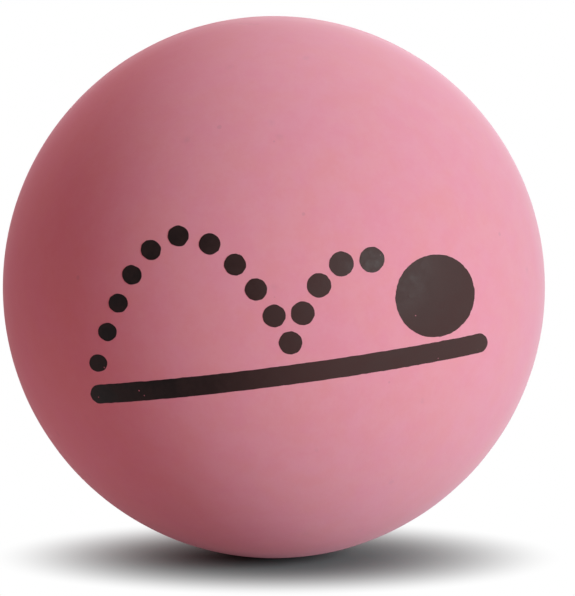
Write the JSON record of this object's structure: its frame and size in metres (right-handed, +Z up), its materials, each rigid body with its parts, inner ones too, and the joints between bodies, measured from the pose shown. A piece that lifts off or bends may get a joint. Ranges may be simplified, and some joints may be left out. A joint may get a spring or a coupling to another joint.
{
  "type": "bouncy ball",
  "caption": "Hollow pink rubber ball of moulded half-shells cemented along a ground seam around a sealed, gas-filled cavity; bounces high when dropped or thrown.",
  "frame": {"origin": "the centre of the ball", "axes": "+Z up as the ball lies on a surface; Y along the half-shells' common axis, with -Y towards the printed front dome; the seam lies in the XZ plane"},
  "size_m": [0.06, 0.06, 0.06],
  "materials": {
    "rubber": "matte pink rubber, ground all over, with a dusty bloom",
    "cement": "cured rubber cement, a darker pink than the wall",
    "ink": "satin black printing ink, a thin stamped film with pinholes"
  },
  "bodies": {
    "root": {"front_half_shell": "rubber", "back_half_shell": "rubber", "seam_cement": "cement"}
  },
  "joints": []
}
